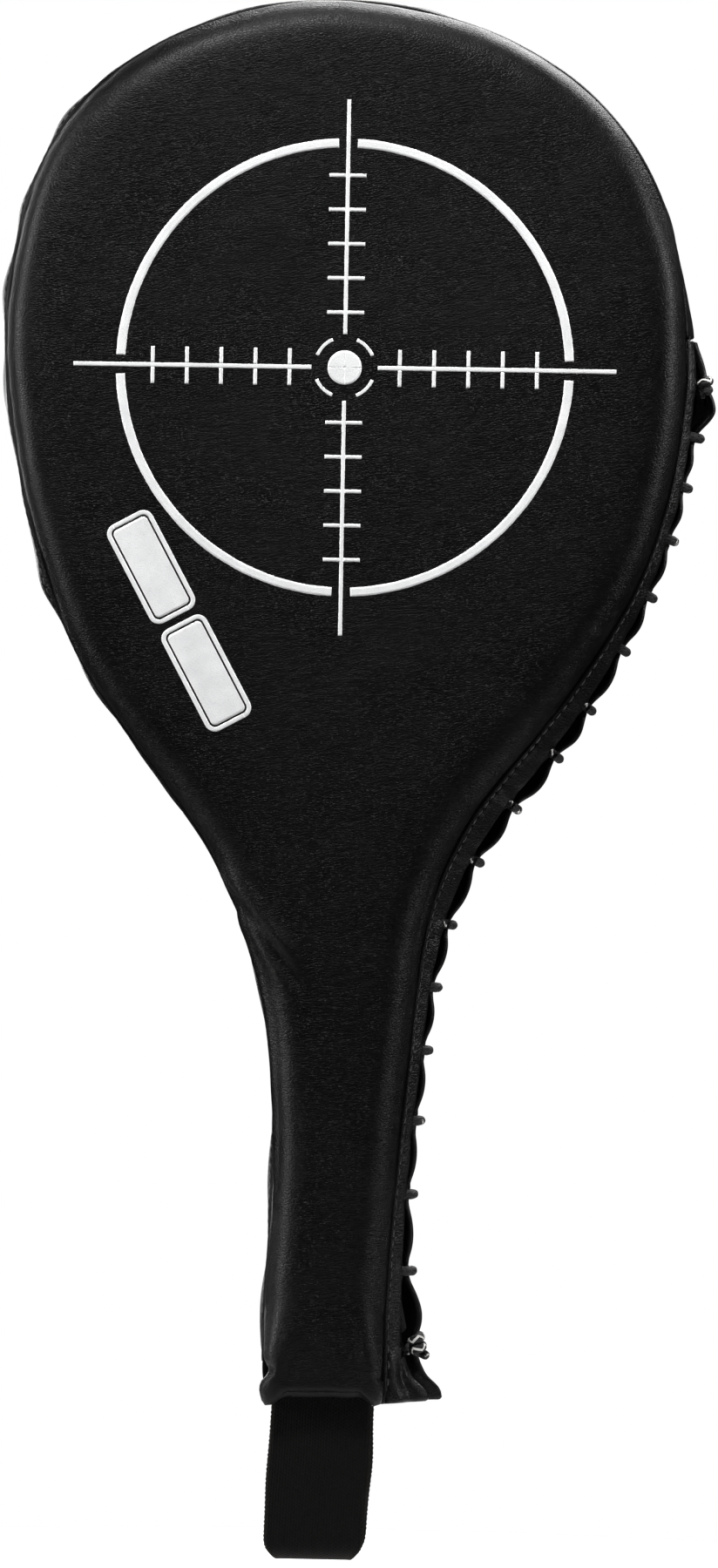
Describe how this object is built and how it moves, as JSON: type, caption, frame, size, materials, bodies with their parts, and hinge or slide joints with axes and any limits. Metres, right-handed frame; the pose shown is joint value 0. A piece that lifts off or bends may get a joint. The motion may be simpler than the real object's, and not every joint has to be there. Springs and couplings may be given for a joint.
{
  "type": "kick paddle",
  "caption": "Racket-shaped leather kick paddle with padded head and handle, laced side opening and elastic wrist loop.",
  "frame": {"origin": "middle of the hand grip, on the mid plane between the two faces", "axes": "+Z from the handle up to the head, -Y out of the printed striking face, +X towards the laced side"},
  "size_m": [0.2143, 0.042, 0.4674],
  "materials": {
    "face_leather": "fine-grained black artificial leather, satin",
    "side_leather": "smooth black artificial leather, satin",
    "foam": "closed-cell foam, matt dark grey",
    "plate": "flexible plastic sheet, matt",
    "lace": "black braided cord with a white tracer",
    "thread": "black bonded sewing thread",
    "webbing": "black woven elastic webbing, matt",
    "print": "white screen print, matt"
  },
  "bodies": {
    "paddle": {"front_panel": "face_leather", "back_panel": "face_leather", "side_gusset": "side_leather", "lace_flap_front": "side_leather", "lace_flap_back": "side_leather", "handle_end_cap": "side_leather", "front_foam_pad": "foam", "rear_foam_pad": "foam", "stiffener_plate": "plate", "lace_cord": "lace", "lace_start_knot": "lace", "lace_end_knot": "lace", "front_seam_thread": "thread", "back_seam_thread": "thread", "strap_front_anchor": "webbing", "strap_back_anchor": "webbing"},
    "loop_front": {"strap_front_strand": "webbing"},
    "loop_bend": {"strap_fold": "webbing"},
    "loop_back": {"strap_back_strand": "webbing"}
  },
  "joints": [
    {"name": "loop_front_swing", "type": "hinge", "parent": "paddle", "child": "loop_front", "pos_m": [-0.0011, -0.0097, -0.0592], "axis": [1, 0, 0], "range_deg": [-50, 50]},
    {"name": "loop_bend_swing", "type": "hinge", "parent": "loop_front", "child": "loop_bend", "pos_m": [-0.0011, -0.0097, -0.0943], "axis": [1, 0, 0], "range_deg": [-50, 50]},
    {"name": "loop_back_swing", "type": "hinge", "parent": "loop_bend", "child": "loop_back", "pos_m": [-0.0011, 0.0097, -0.0943], "axis": [1, 0, 0], "range_deg": [-50, 50]}
  ],
  "couplings": [
    {"joint": "loop_bend_swing", "follows": "loop_front_swing", "ratio": -1},
    {"joint": "loop_back_swing", "follows": "loop_front_swing", "ratio": 1}
  ]
}
